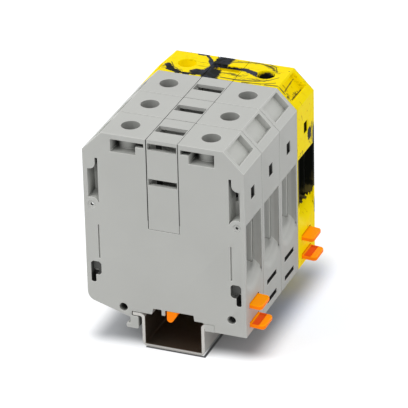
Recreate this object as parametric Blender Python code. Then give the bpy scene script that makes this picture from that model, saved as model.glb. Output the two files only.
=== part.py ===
"""High current terminal block: four screw clamp poles, clipped side by side on a piece of top hat rail.

X runs across the rail, Y along it and Z up. The origin is the middle of the rail's underside.
Each pole is a housing with a rear cover, a bridge shaft, a current bar and, on either side, a clamping
sleeve that its screw draws up against the bar. The first and last poles carry a lock slide.
"""

import math

import bmesh
import bpy

MM = 0.001

# Clearances
FIT = 0.3 * MM
SEAM = 0.24 * MM
OVERCUT = 1.0 * MM

# Top hat rail
RAIL_WIDTH = 35 * MM
RAIL_CHANNEL = 27 * MM
RAIL_DEPTH = 15 * MM
RAIL_SHEET = 1.5 * MM
RAIL_BEND = 0.9 * MM
BEND_STEPS = 4

# Row of poles
POLES = 4
PITCH = 20 * MM
LOCKED_POLES = (0, POLES - 1)

# Housing outline, heights above the rail's flanges
BLOCK_LENGTH = 68.5 * MM
BLOCK_HEIGHT = 79 * MM
BLOCK_OFFSET = -2.6 * MM
CHAMFER_RUN = 8.5 * MM
CHAMFER_DROP = 8.6 * MM
HOOK_THICKNESS = 1.1 * MM
CORNER_RISE = 6 * MM
CORNER_RADIUS = 4 * MM
SLOPE_DROP = 2.6 * MM

# Left foot, which hooks under the rail's left flange
FOOT_LENGTH = 7.5 * MM
FOOT_NOSE = 2.8 * MM
FOOT_NECK = 0.7 * MM
FOOT_LIP = 1.8 * MM
FOOT_LIP_HEIGHT = 2.0 * MM
FOOT_EASE = 0.45 * MM

# Underside between the flanges, from left to right
LEFT_PAD_END = -9.0 * MM
RELIEF_HEIGHT = 3.1 * MM
RELIEF_END = -4.8 * MM
STOP_RIB_WIDTH = 1.5 * MM
STOP_RIB_RISE = 0.6 * MM
TONGUE_BAY_END = 9.0 * MM
RIGHT_PAD_END = 12.9 * MM

# Conductor entries
ENTRY_WALL = 1.9 * MM
LIP_DEPTH = 7.2 * MM
LIP_STEP = 1.5 * MM
LIP_RISE = 6 * MM
LIP_SAG = 4.6 * MM
LIP_STEPS = 5
LIP_SPANS = 8

# Current bar
BAR_DROP = 36 * MM
BAR_THICKNESS = 4 * MM
BAR_END_GAP = 1.2 * MM
BAR_EDGE = 0.4 * MM

# Clamping sleeves and their chambers
CHAMBER_WEB = 3.0 * MM
CHAMBER_MARGIN = 9.55 * MM
CHAMBER_FLOOR = 7.1 * MM
SLEEVE_WALL = 1.8 * MM
SLEEVE_FLOOR = 2.0 * MM
SLEEVE_ROOF = 4.0 * MM
SLEEVE_EDGE = 0.9 * MM
CLAMP_TRAVEL = 12 * MM
GRIP_RIDGES = 4
GRIP_RIDGE_HEIGHT = 0.6 * MM

# Clamping screws
SCREW_RADIUS = 2.95 * MM
SCREW_TIP = 0.8 * MM
HEAD_RADIUS = 4.0 * MM
HEAD_HEIGHT = 6 * MM
HEAD_EDGE = 0.4 * MM
SOCKET_WIDTH = 5 * MM
SOCKET_DEPTH = 3.5 * MM
TOOL_HOLE_RADIUS = 3.85 * MM

# Facets of round shapes
ROUND_SEGMENTS = 32
INNER_SEGMENTS = 20
PIN_SEGMENTS = 12

# Screw tube niches in the front
TUBE_RADIUS = 5.5 * MM
NICHE_INWARD = 5.8 * MM
NICHE_OUTWARD = 4.9 * MM
NICHE_TOP = 2.4 * MM
NICHE_HEIGHT = 5.4 * MM
NICHE_STEP = 3.5 * MM
NICHE_STEP_HEIGHT = 1.8 * MM

# Bridge shaft in the middle of each pole
SHAFT_WIDTH = 13 * MM
SHAFT_WALL = 0.9 * MM
SHAFT_FACE = 2.0 * MM
SHAFT_TOP = 1.6 * MM
SHAFT_FACE_HEIGHT = 39.7 * MM
SHAFT_CLEARANCE = 2.0 * MM
SHAFT_LEFT_LINE = 0.28 * MM
SHAFT_RIGHT_LINE = 0.14 * MM
SLOT_INSET = 0.4 * MM
SLOT_BREADTH = 5.2 * MM
SLOT_SHIFT = 0.6 * MM
FACE_SLOT_HEIGHT = 2.8 * MM
FACE_SLOT_DROP = 17 * MM

# Marker grooves in the chamfers
MARKER_START = 0.08
MARKER_END = 0.71
MARKER_DEPTH = 2.0 * MM
MARKER_LENGTH = 15.4 * MM

# Snap windows in the sides
WINDOW_WIDTH = 4.2 * MM
WINDOW_HEIGHT = 5.1 * MM
WINDOW_DROP = 23.4 * MM
WINDOW_DEPTH = 6.5 * MM

# Latch pockets, bosses, grooves and holes in the front face, measured from side face and top
POCKET_RIM = 1.95 * MM
POCKET_WIDTH = 4.5 * MM
POCKET_DEPTH = 7.3 * MM
NECK_DROP = 11.8 * MM
NECK_WIDTH = 1.1 * MM
NECK_DEPTH = 11.5 * MM
NECK_FOOT = 1.3 * MM
LOBE_DROP = 17 * MM
LOBE_RADIUS = 2.6 * MM
BOSS_INSET = 3.35 * MM
BOSS_DROP = 32.9 * MM
BOSS_RADIUS = 3.4 * MM
BOSS_DISH_RADIUS = 1.6 * MM
BOSS_DISH_DEPTH = 0.4 * MM
BOSS_HOLE_RADIUS = 0.65 * MM
BOSS_HOLE_DEPTH = 3.0 * MM
GROOVE_INSET = 6.25 * MM
GROOVE_WIDTH = 0.6 * MM
GROOVE_BOTTOM = 22.2 * MM
GROOVE_TO_BOSS = 8.7 * MM
GROOVE_DEPTH = 0.9 * MM
LOWER_POCKET_TOP = 20.4 * MM
LOWER_POCKET_HEIGHT = 6 * MM
LOWER_POCKET_TAIL = 3.5 * MM
LOWER_POCKET_TAIL_WIDTH = 2.1 * MM
LOWER_POCKET_DEPTH = 3.0 * MM
GUIDE_WALL = 0.65 * MM
LOWER_POCKET_EASE = 0.9 * MM
ROUND_HOLE_RADIUS = 1.8 * MM
LEFT_HOLE_OUTWARD = 3.8 * MM
LEFT_HOLE_HEIGHT = 1.5 * MM
LEFT_HOLE_DEPTH = 10.5 * MM
RIGHT_HOLE_INSET = 6.25 * MM
RIGHT_HOLE_HEIGHT = 4.2 * MM

# Rear cover
COVER_THICKNESS = 2.28 * MM
COVER_MARGIN = 3.9 * MM
COVER_BOTTOM = 14.4 * MM
COVER_LINE = 0.15 * MM
PEG_RADIUS = 1.4 * MM
PEG_LENGTH = 5 * MM
UPPER_PEG_INSET = 7.05 * MM
UPPER_PEG_DROP = 26 * MM
LOWER_PEG_OFFSET = 6 * MM
LOWER_PEG_HEIGHT = 20 * MM

# Lock slides, whose tabs are half a pole wide
TAB_THICKNESS = 1.8 * MM
TAB_CORNER = 1.5 * MM
UPPER_TAB_REACH = 5.2 * MM
LOWER_TAB_REACH = 6.3 * MM
GRIP_START = 0.7 * MM
GRIP_END = 3.6 * MM
GRIP_RIM = 0.9 * MM
GRIP_DEPTH = 0.4 * MM
LOWER_ARM_RISE = 1.4 * MM
ARM_SPACING = 8.7 * MM
SLIDE_FIT = 0.25 * MM
TONGUE_WIDTH = 5.0 * MM
TONGUE_DROP = 2.2 * MM
TONGUE_THICKNESS = 3 * MM
TONGUE_TIP_RADIUS = 1.4 * MM
TONGUE_LEAN = 30

# Places worked out from the sizes
ROW_LENGTH = POLES * PITCH
DECK = RAIL_DEPTH
TOP = DECK + BLOCK_HEIGHT
MIDDLE = BLOCK_OFFSET
LEFT_FACE = MIDDLE - BLOCK_LENGTH / 2
RIGHT_FACE = MIDDLE + BLOCK_LENGTH / 2
HALF_LENGTH = BLOCK_LENGTH / 2
FLANGE_TIP = RAIL_WIDTH / 2
CHANNEL_SIDE = RAIL_CHANNEL / 2
FRONT = SEAM / 2
BACK = PITCH - SEAM / 2
HALF_PITCH = PITCH / 2
COVER_FACE = BACK - COVER_THICKNESS
RIB_END = COVER_FACE - FIT

SHAFT_HALF = SHAFT_WIDTH / 2
CHAMBER_INNER = SHAFT_HALF + CHAMBER_WEB
CHAMBER_OUTER = HALF_LENGTH - CHAMBER_MARGIN
SCREW_OFFSET = (CHAMBER_INNER + CHAMBER_OUTER) / 2

LOWER_ARM = DECK + LOWER_ARM_RISE
UPPER_ARM = LOWER_ARM + ARM_SPACING
UPPER_ARM_TOP = UPPER_ARM + TAB_THICKNESS

BAR_UNDERSIDE = TOP - BAR_DROP
BAR_UPPER = BAR_UNDERSIDE + BAR_THICKNESS
CHAMBER_HALF_WIDTH = COVER_FACE - HALF_PITCH
SLEEVE_WIDTH = 2 * (CHAMBER_HALF_WIDTH - FIT)
BAR_WIDTH = SLEEVE_WIDTH - 2 * FIT - 2 * SLEEVE_WALL
SLEEVE_DEPTH = CHAMBER_OUTER - CHAMBER_INNER - 2 * FIT
SLEEVE_BOTTOM = UPPER_ARM_TOP + CHAMBER_FLOOR
SLEEVE_FLOOR_TOP = SLEEVE_BOTTOM + SLEEVE_FLOOR
SLEEVE_ROOF_UNDER = BAR_UPPER + FIT
SLEEVE_TOP = SLEEVE_ROOF_UNDER + SLEEVE_ROOF
CHAMBER_TOP = SLEEVE_TOP + CLAMP_TRAVEL + FIT
CHAMBER_BOTTOM = SLEEVE_BOTTOM - FIT
HEAD_TOP = CHAMBER_TOP + HEAD_HEIGHT
GUIDE_RADIUS = HEAD_RADIUS + FIT
GUIDE_TOP = HEAD_TOP + FIT

ENTRY_FRONT = ENTRY_WALL
ENTRY_BACK = PITCH - ENTRY_WALL
ENTRY_STEP = HALF_LENGTH - COVER_MARGIN
ENTRY_SILL = SLEEVE_FLOOR_TOP - LIP_STEP - LIP_RISE
SHAFT_BOTTOM = BAR_UPPER + SHAFT_CLEARANCE
SHAFT_FACE_BOTTOM = TOP - SHAFT_FACE_HEIGHT
SHAFT_LIP_UNDER = TOP - COVER_MARGIN + FIT

TAB_FRONT = HALF_PITCH / 2
TAB_BACK = HALF_PITCH + TAB_FRONT
GUIDE_FRONT = TAB_FRONT - SLIDE_FIT

POCKET_OUTER = HALF_LENGTH - POCKET_RIM
POCKET_INNER = POCKET_OUTER - POCKET_WIDTH
BOSS_OFFSET = HALF_LENGTH - BOSS_INSET
BOSS_HEIGHT = TOP - BOSS_DROP
WINDOW_BOTTOM = TOP - WINDOW_DROP
PEG_PLACES = (
    (HALF_LENGTH - UPPER_PEG_INSET, TOP - UPPER_PEG_DROP),
    (LOWER_PEG_OFFSET, DECK + LOWER_PEG_HEIGHT),
)
ROUND_HOLES = (
    (-FLANGE_TIP - LEFT_HOLE_OUTWARD, DECK + LEFT_HOLE_HEIGHT, LEFT_HOLE_DEPTH),
    (RIGHT_FACE - RIGHT_HOLE_INSET, DECK + RIGHT_HOLE_HEIGHT, GUIDE_FRONT - GUIDE_WALL),
)

TONGUE_LEFT = RELIEF_END + STOP_RIB_WIDTH + FIT
TONGUE_RIGHT = TONGUE_LEFT + TONGUE_WIDTH
CROSSBAR_FRONT = ENTRY_FRONT + 2 * FIT


def plastic(name, colour, roughness):
    """A moulded plastic."""
    return finish(name, colour, roughness, 0.0)


def finish(name, colour, roughness, metallic):
    material = bpy.data.materials.new(name)
    material.use_nodes = True
    shader = material.node_tree.nodes["Principled BSDF"]
    shader.inputs["Base Color"].default_value = (*colour, 1.0)
    shader.inputs["Roughness"].default_value = roughness
    shader.inputs["Metallic"].default_value = metallic
    material.diffuse_color = (*colour, 1.0)
    return material


def link(name, mesh):
    item = bpy.data.objects.new(name, mesh)
    bpy.context.scene.collection.objects.link(item)
    return item


def mesh_from(name, shape):
    bmesh.ops.recalc_face_normals(shape, faces=shape.faces)
    mesh = bpy.data.meshes.new(name)
    shape.to_mesh(mesh)
    shape.free()
    return mesh


def prism(name, outline, start, end):
    """An outline of (x, z) points, extruded along Y from start to end."""
    shape = bmesh.new()
    corners = [shape.verts.new((x, start, z)) for x, z in outline]
    face = shape.faces.new(corners)
    grown = bmesh.ops.extrude_face_region(shape, geom=[face])["geom"]
    moved = [item for item in grown if isinstance(item, bmesh.types.BMVert)]
    bmesh.ops.translate(shape, verts=moved, vec=(0, end - start, 0))
    return link(name, mesh_from(name, shape))


def block(name, x, y, z):
    """A box between the low and high values of each axis."""
    return prism(name, [(x[0], z[0]), (x[1], z[0]), (x[1], z[1]), (x[0], z[1])], y[0], y[1])


def turned(name, profile, segments=ROUND_SEGMENTS):
    """A profile of (radius, z) points that starts and ends on the Z axis, spun into a solid."""
    shape = bmesh.new()
    points = [shape.verts.new((radius, 0, z)) for radius, z in profile]
    edges = [shape.edges.new(pair) for pair in zip(points, points[1:])]
    bmesh.ops.spin(
        shape, geom=points + edges, cent=(0, 0, 0), axis=(0, 0, 1), dvec=(0, 0, 0),
        angle=math.tau, steps=segments, use_merge=True,
    )
    bmesh.ops.remove_doubles(shape, verts=shape.verts, dist=0.001 * MM)
    return link(name, mesh_from(name, shape))


def rod(name, radius, low, high, segments=ROUND_SEGMENTS):
    return turned(name, [(0, low), (radius, low), (radius, high), (0, high)], segments)


def bore(name, radius, x, z, start, end, segments=PIN_SEGMENTS):
    """A round shape that runs along Y."""
    return prism(name, arc(x, z, radius, 0, 360, segments)[:-1], start, end)


def arc(x, z, radius, start, end, steps):
    """Points on an arc about (x, z), with the angles in degrees."""
    angles = [math.radians(start + (end - start) * step / steps) for step in range(steps + 1)]
    return [(x + radius * math.cos(angle), z + radius * math.sin(angle)) for angle in angles]


def mirrored(outline, side):
    """Moves an outline given from the block's middle to the left (-1) or right (1) half."""
    return [(MIDDLE + side * x, z) for x, z in outline]


def combine(body, tools, operation):
    """Joins the tools to the body or cuts them from it, and removes them."""
    for tool in tools:
        change = body.modifiers.new(tool.name, "BOOLEAN")
        change.operation = operation
        change.solver = "EXACT"
        change.object = tool
    settle(body)
    for tool in tools:
        bpy.data.objects.remove(tool)
    return body


def carve(body, tools):
    return combine(body, tools, "DIFFERENCE")


def settle(body):
    """Makes the evaluated shape the body's own mesh."""
    graph = bpy.context.evaluated_depsgraph_get()
    mesh = bpy.data.meshes.new_from_object(body.evaluated_get(graph))
    body.modifiers.clear()
    body.data = mesh


def rounded(body, width, segments=2, limit=40):
    """Eases the body's sharp edges."""
    ease = body.modifiers.new("ease", "BEVEL")
    ease.width = width
    ease.segments = segments
    ease.limit_method = "ANGLE"
    ease.angle_limit = math.radians(limit)
    settle(body)
    return body


def place(pattern, name, location, material, smooth=False):
    """A copy of a finished shape, as its own object with its own finish."""
    mesh = pattern.data.copy()
    mesh.name = name
    mesh.materials.clear()
    mesh.materials.append(material)
    if smooth:
        mesh.shade_smooth()
        mesh.set_sharp_from_angle(angle=math.radians(35))
    item = link(name, mesh)
    item.location = location
    return item


def pole_start(pole):
    return -ROW_LENGTH / 2 + pole * PITCH


def rail_outline():
    """The rail's folded section, outer side first and back along the inner side."""
    outer = RAIL_BEND + RAIL_SHEET
    under = DECK - RAIL_SHEET
    side = CHANNEL_SIDE
    inside = side - RAIL_SHEET
    right = [(FLANGE_TIP, under)]
    right += arc(side + RAIL_BEND, under - RAIL_BEND, RAIL_BEND, 90, 180, BEND_STEPS)
    right += arc(side - outer, outer, outer, 0, -90, BEND_STEPS)
    right_inner = arc(inside - RAIL_BEND, RAIL_SHEET + RAIL_BEND, RAIL_BEND, -90, 0, BEND_STEPS)
    right_inner += arc(inside + outer, DECK - outer, outer, 180, 90, BEND_STEPS)
    right_inner += [(FLANGE_TIP, DECK)]
    left = [(-x, z) for x, z in reversed(right)]
    left_inner = [(-x, z) for x, z in reversed(right_inner)]
    return right + left + left_inner + right_inner


def foot_outline():
    """The left foot's edge, from the flange round the hook to the sloping underside."""
    inner = -FLANGE_TIP - FIT
    nose_top = DECK - RAIL_SHEET - FIT
    low = DECK - FOOT_LENGTH
    nose = inner + FOOT_NOSE
    back = inner - FOOT_NECK
    lip = back - FOOT_LIP
    return [
        (inner, DECK + FIT),
        (inner, nose_top),
        (nose - FOOT_EASE, nose_top),
        (nose, nose_top - FOOT_EASE),
        (nose, low + FOOT_EASE),
        (nose - FOOT_EASE, low),
        (lip + FOOT_EASE, low),
        (lip, low + FOOT_EASE),
        (lip, low + FOOT_LIP_HEIGHT - FOOT_EASE),
        (lip + FOOT_EASE, low + FOOT_LIP_HEIGHT),
        (back, low + FOOT_LIP_HEIGHT),
        (back, DECK - SLOPE_DROP),
    ]


def housing_outline():
    """The housing's edge, clockwise from the top left chamfer."""
    pad = DECK + FIT
    relief = DECK + RELIEF_HEIGHT
    rib = DECK + STOP_RIB_RISE
    hook = CHANNEL_SIDE + FIT
    flange_under = DECK - RAIL_SHEET - FIT
    hook_under = flange_under - HOOK_THICKNESS
    corner = arc(
        LEFT_FACE + CORNER_RADIUS, DECK + CORNER_RISE, CORNER_RADIUS, 250, 180, BEND_STEPS
    )
    return [
        (LEFT_FACE, TOP - CHAMFER_DROP),
        (LEFT_FACE + CHAMFER_RUN, TOP),
        (RIGHT_FACE - CHAMFER_RUN, TOP),
        (RIGHT_FACE, TOP - CHAMFER_DROP),
        (RIGHT_FACE, hook_under),
        (hook, hook_under),
        (hook, flange_under),
        (FLANGE_TIP + FIT, flange_under),
        (FLANGE_TIP + FIT, pad),
        (RIGHT_PAD_END, pad),
        (RIGHT_PAD_END, rib),
        (TONGUE_BAY_END + FIT, rib),
        (TONGUE_BAY_END, relief),
        (RELIEF_END + STOP_RIB_WIDTH, relief),
        (RELIEF_END + STOP_RIB_WIDTH, rib),
        (RELIEF_END, rib),
        (RELIEF_END, relief),
        (LEFT_PAD_END + STOP_RIB_RISE, relief),
        (LEFT_PAD_END, pad),
    ] + foot_outline() + corner


def entry_floor(reach, across):
    """Height of the bell-mouthed lead-in, at a distance from the middle and across the pole."""
    inward = min(max((HALF_LENGTH - reach) / LIP_DEPTH, 0.0), 1.0)
    crest = LIP_RISE * math.sqrt(1 - (1 - inward) ** 2)
    offset = min(abs(across - HALF_PITCH) / (HALF_PITCH - ENTRY_WALL), 1.0)
    return ENTRY_SILL + crest + LIP_SAG * offset ** 2


def entry_sections():
    """Distance from the middle, front and back of each section of the conductor entry."""
    flare = [HALF_LENGTH - LIP_DEPTH * (step / LIP_STEPS) ** 2 for step in range(LIP_STEPS + 1)]
    outer = [reach for reach in flare if reach > ENTRY_STEP]
    inner = [reach for reach in flare if reach <= ENTRY_STEP]
    narrow_front = HALF_PITCH - CHAMBER_HALF_WIDTH
    narrow_back = PITCH + OVERCUT
    outer = [HALF_LENGTH + OVERCUT] + outer + [ENTRY_STEP]
    inner = [ENTRY_STEP - COVER_LINE] + inner + [CHAMBER_OUTER - FIT]
    wide = [(reach, ENTRY_FRONT, ENTRY_BACK) for reach in outer]
    return wide + [(reach, narrow_front, narrow_back) for reach in inner]


def entry_cutter(side):
    """A loft through the entry's sections, with the lead-in as its floor."""
    shape = bmesh.new()
    rings = []
    for reach, front, back in entry_sections():
        x = MIDDLE + side * reach
        spread = [front + (back - front) * step / LIP_SPANS for step in range(LIP_SPANS + 1)]
        ring = [shape.verts.new((x, y, entry_floor(reach, y))) for y in spread]
        ring += [shape.verts.new((x, back, BAR_UPPER)), shape.verts.new((x, front, BAR_UPPER))]
        rings.append(ring)
    count = len(rings[0])
    for near, far in zip(rings, rings[1:]):
        for index in range(count):
            after = (index + 1) % count
            shape.faces.new((near[index], near[after], far[after], far[index]))
    shape.faces.new(rings[0])
    shape.faces.new(rings[-1])
    return link("entry_cutter", mesh_from("entry_cutter", shape))


def chamber_cutters(side):
    """The sleeve's chamber and the screw's guide and tool hole above it."""
    outline = [
        (CHAMBER_INNER, CHAMBER_BOTTOM), (CHAMBER_OUTER, CHAMBER_BOTTOM),
        (CHAMBER_OUTER, CHAMBER_TOP), (CHAMBER_INNER, CHAMBER_TOP),
    ]
    chamber = prism(
        "chamber_cutter", mirrored(outline, side), HALF_PITCH - CHAMBER_HALF_WIDTH, PITCH + OVERCUT
    )
    guide = rod("guide_cutter", GUIDE_RADIUS, CHAMBER_TOP - OVERCUT, GUIDE_TOP, INNER_SEGMENTS)
    tool_hole = rod("tool_hole_cutter", TOOL_HOLE_RADIUS, GUIDE_TOP - FIT, TOP + OVERCUT)
    for cutter in (guide, tool_hole):
        cutter.location = (MIDDLE + side * SCREW_OFFSET, HALF_PITCH, 0)
    return [chamber, guide, tool_hole]


def niche_cutter(side):
    """The stepped niche in the front, which leaves the screw's tube standing."""
    top = TOP - NICHE_TOP
    inner = SCREW_OFFSET - NICHE_INWARD
    outer = SCREW_OFFSET + NICHE_OUTWARD
    outline = [
        (inner - NICHE_STEP, top), (outer, top),
        (outer, top - NICHE_HEIGHT), (inner, top - NICHE_HEIGHT),
        (inner, top - NICHE_STEP_HEIGHT), (inner - NICHE_STEP, top - NICHE_STEP_HEIGHT),
    ]
    niche = prism("niche_cutter", mirrored(outline, side), -OVERCUT, HALF_PITCH)
    tube = rod("tube", TUBE_RADIUS, top - NICHE_HEIGHT - OVERCUT, top + OVERCUT)
    tube.location = (MIDDLE + side * SCREW_OFFSET, HALF_PITCH, 0)
    return carve(niche, [tube])


def marker_cutter(side):
    """The groove for a marker strip in the chamfer."""
    run = CHAMFER_RUN
    drop = CHAMFER_DROP
    slope = math.hypot(run, drop)
    along = (run / slope, -drop / slope)
    normal = (drop / slope, run / slope)
    start = (HALF_LENGTH - run, TOP)

    def point(share, rise):
        reach = share * slope
        return (
            start[0] + along[0] * reach + normal[0] * rise,
            start[1] + along[1] * reach + normal[1] * rise,
        )

    outline = [
        point(MARKER_START, OVERCUT), point(MARKER_END, OVERCUT),
        point(MARKER_END, -MARKER_DEPTH), point(MARKER_START, -MARKER_DEPTH),
    ]
    first = HALF_PITCH - MARKER_LENGTH / 2
    return prism("marker_cutter", mirrored(outline, side), first, first + MARKER_LENGTH)


def window_cutter(side):
    """The window through a side wall into the latch pocket's neck."""
    high = WINDOW_BOTTOM + WINDOW_HEIGHT
    inner = HALF_LENGTH - WINDOW_DEPTH
    outer = HALF_LENGTH + OVERCUT
    outline = [(inner, WINDOW_BOTTOM), (outer, WINDOW_BOTTOM), (outer, high), (inner, high)]
    start = HALF_PITCH - WINDOW_WIDTH / 2
    return prism("window_cutter", mirrored(outline, side), start, start + WINDOW_WIDTH)


def latch_pocket_cutters(side):
    """The latch pocket, with its deep and narrow neck, round lobe and the boss below."""
    neck = POCKET_INNER + NECK_WIDTH
    lobe = TOP - LOBE_DROP
    high = TOP - NECK_DROP
    low = WINDOW_BOTTOM - NECK_FOOT
    slot = [(POCKET_INNER, low), (neck, low), (neck, high), (POCKET_INNER, high)]
    outline = [(POCKET_INNER, high), (neck, high)]
    outline += arc(neck + LOBE_RADIUS, lobe + LOBE_RADIUS, LOBE_RADIUS, 180, 270, BEND_STEPS)
    outline += [(POCKET_OUTER, lobe)]
    lean = math.degrees(math.acos((POCKET_OUTER - BOSS_OFFSET) / BOSS_RADIUS))
    reach = math.degrees(math.acos((POCKET_INNER - BOSS_OFFSET) / BOSS_RADIUS))
    outline += arc(BOSS_OFFSET, BOSS_HEIGHT, BOSS_RADIUS, lean, reach, BEND_STEPS * 2)
    return [
        prism("latch_pocket_cutter", mirrored(outline, side), -OVERCUT, POCKET_DEPTH),
        prism("neck_cutter", mirrored(slot, side), FRONT + FIT, NECK_DEPTH),
    ]


def lower_pocket_cutters(side):
    """The pocket below the groove, with a shallower tail along its outer side."""
    top = DECK + LOWER_POCKET_TOP
    shelf = top - LOWER_POCKET_HEIGHT
    low = shelf - LOWER_POCKET_TAIL
    tail = POCKET_OUTER - LOWER_POCKET_TAIL_WIDTH
    ease = LOWER_POCKET_EASE
    upper = [
        (POCKET_INNER, top - ease), (POCKET_INNER + ease, top),
        (POCKET_OUTER - ease, top), (POCKET_OUTER, top - ease),
        (POCKET_OUTER, shelf), (POCKET_INNER + ease, shelf), (POCKET_INNER, shelf + ease),
    ]
    lower = [
        (POCKET_OUTER, shelf + ease), (POCKET_OUTER, low + ease / 2), (POCKET_OUTER - ease / 2, low),
        (tail + ease / 2, low), (tail, low + ease / 2), (tail, shelf + ease),
    ]
    return [
        prism("lower_pocket_cutter", mirrored(upper, side), -OVERCUT, LOWER_POCKET_DEPTH),
        prism("pocket_tail_cutter", mirrored(lower, side), -OVERCUT, GUIDE_FRONT - GUIDE_WALL),
    ]


def face_detail_cutters(side):
    """The pinhole in the boss and the slim groove below it."""
    boss_x = MIDDLE + side * BOSS_OFFSET
    low = DECK + GROOVE_BOTTOM
    high = BOSS_HEIGHT - GROOVE_TO_BOSS
    inner = HALF_LENGTH - GROOVE_INSET
    outer = inner + GROOVE_WIDTH
    groove = [(inner, low), (outer, low), (outer, high), (inner, high)]
    return [
        bore(
            "dish_cutter", BOSS_DISH_RADIUS, boss_x, BOSS_HEIGHT, -OVERCUT, BOSS_DISH_DEPTH,
            INNER_SEGMENTS,
        ),
        bore("pinhole_cutter", BOSS_HOLE_RADIUS, boss_x, BOSS_HEIGHT, -OVERCUT, BOSS_HOLE_DEPTH),
        prism("groove_cutter", mirrored(groove, side), -OVERCUT, GROOVE_DEPTH),
    ]


def cover_outline(margin):
    """The rear cover's edge, set in from the housing's edge by a margin."""
    side = HALF_LENGTH - margin
    top = TOP - margin
    corner = margin * math.tan(math.atan2(CHAMFER_DROP, CHAMFER_RUN) / 2)
    run = CHAMFER_RUN - margin + corner
    drop = CHAMFER_DROP - margin + corner
    low = DECK + COVER_BOTTOM + margin - COVER_MARGIN
    half = [(side, low), (side, top - drop), (side - run, top)]
    return mirrored(half, 1) + mirrored(reversed(half), -1)


def pegs(radius, length, end):
    """Four rods along Y where the cover's pegs are."""
    places = [(MIDDLE + side * x, z) for side in (-1, 1) for x, z in PEG_PLACES]
    return [bore("peg", radius, x, z, end - length, end) for x, z in places]


def slide_cutters():
    """The lock slide's two guides, and the bay that its crossbar and tongue move in."""
    depth = (GUIDE_FRONT, TAB_BACK + SLIDE_FIT)
    guides = []
    for arm in (LOWER_ARM, UPPER_ARM):
        height = (arm - SLIDE_FIT, arm + TAB_THICKNESS + SLIDE_FIT)
        guides.append(block("guide_cutter", (TONGUE_RIGHT, RIGHT_FACE + OVERCUT), depth, height))
    bay = block(
        "bay_cutter",
        (TONGUE_LEFT - FIT, TONGUE_BAY_END),
        (CROSSBAR_FRONT - FIT, TAB_BACK + FIT),
        (DECK, UPPER_ARM_TOP + FIT),
    )
    return guides + [bay]


def shaft_cutters():
    """The gap through top and front that holds the bridge shaft, and the bar's channel."""
    shaft = block(
        "shaft_cutter",
        (MIDDLE - SHAFT_HALF - SHAFT_LEFT_LINE, MIDDLE + SHAFT_HALF + SHAFT_RIGHT_LINE),
        (-OVERCUT, PITCH + OVERCUT),
        (SHAFT_FACE_BOTTOM - COVER_LINE, TOP + OVERCUT),
    )
    channel = block(
        "bar_channel_cutter",
        (MIDDLE - CHAMBER_INNER - FIT, MIDDLE + CHAMBER_INNER + FIT),
        (HALF_PITCH - BAR_WIDTH / 2 - FIT, PITCH + OVERCUT),
        (BAR_UNDERSIDE - FIT, BAR_UPPER + FIT),
    )
    return [shaft, channel]


def make_housing():
    """One pole's moulded housing, open towards the back."""
    body = prism("housing", housing_outline(), FRONT, BACK)
    recess = prism("recess_cutter", cover_outline(COVER_MARGIN - COVER_LINE), RIB_END, PITCH + OVERCUT)
    tools = [recess] + shaft_cutters() + slide_cutters()
    tools += pegs(PEG_RADIUS + FIT, PEG_LENGTH + FIT, COVER_FACE)
    for side in (-1, 1):
        tools += [entry_cutter(side), niche_cutter(side), marker_cutter(side), window_cutter(side)]
        tools += latch_pocket_cutters(side) + lower_pocket_cutters(side)
        tools += chamber_cutters(side) + face_detail_cutters(side)
    for x, z, depth in ROUND_HOLES:
        tools.append(bore("hole_cutter", ROUND_HOLE_RADIUS, x, z, -OVERCUT, depth, INNER_SEGMENTS))
    return carve(body, tools)


def make_cover():
    """The cover that closes the back of a pole."""
    plate = prism("cover", cover_outline(COVER_MARGIN), COVER_FACE, BACK)
    return combine(plate, pegs(PEG_RADIUS, PEG_LENGTH, COVER_FACE + FIT), "UNION")


def make_shaft():
    """The shaft that a bridge is pushed down, with its slotted top and front."""
    sides = (MIDDLE - SHAFT_HALF, MIDDLE + SHAFT_HALF)
    slot = (sides[0] + SLOT_INSET, sides[1] - SLOT_INSET)
    profile_front = FRONT + SHAFT_FACE
    body = block("shaft", sides, (FRONT, RIB_END), (SHAFT_BOTTOM, TOP))
    face = block("shaft_face", sides, (FRONT, profile_front), (SHAFT_FACE_BOTTOM, TOP))
    lid = block("shaft_lid", sides, (FRONT, BACK), (SHAFT_LIP_UNDER, TOP))
    combine(body, [face, lid], "UNION")
    hollow = block(
        "hollow_cutter",
        (sides[0] + SHAFT_WALL, sides[1] - SHAFT_WALL),
        (profile_front, RIB_END + OVERCUT),
        (SHAFT_BOTTOM - OVERCUT, SHAFT_LIP_UNDER),
    )
    loft = block(
        "loft_cutter",
        (sides[0] + SHAFT_WALL, sides[1] - SHAFT_WALL),
        (profile_front, BACK - SHAFT_FACE),
        (SHAFT_LIP_UNDER - OVERCUT, TOP - SHAFT_TOP),
    )
    middle = HALF_PITCH + SLOT_SHIFT
    top_slot = block(
        "top_slot_cutter", slot, (middle - SLOT_BREADTH / 2, middle + SLOT_BREADTH / 2),
        (TOP - SHAFT_TOP - OVERCUT / 2, TOP + OVERCUT),
    )
    upper = TOP - SHAFT_TOP
    face_slots = [
        block(
            "face_slot_cutter", slot, (-OVERCUT, profile_front + OVERCUT / 2),
            (high - FACE_SLOT_HEIGHT, high),
        )
        for high in (upper, upper - FACE_SLOT_DROP + FACE_SLOT_HEIGHT / 2)
    ]
    return carve(body, [hollow, loft, top_slot] + face_slots)


def make_bar():
    """The tinned copper bar that joins a pole's two clamps."""
    reach = CHAMBER_OUTER - BAR_END_GAP
    body = block(
        "bar",
        (MIDDLE - reach, MIDDLE + reach),
        (HALF_PITCH - BAR_WIDTH / 2, HALF_PITCH + BAR_WIDTH / 2),
        (BAR_UNDERSIDE, BAR_UPPER),
    )
    return rounded(body, BAR_EDGE)


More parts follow.
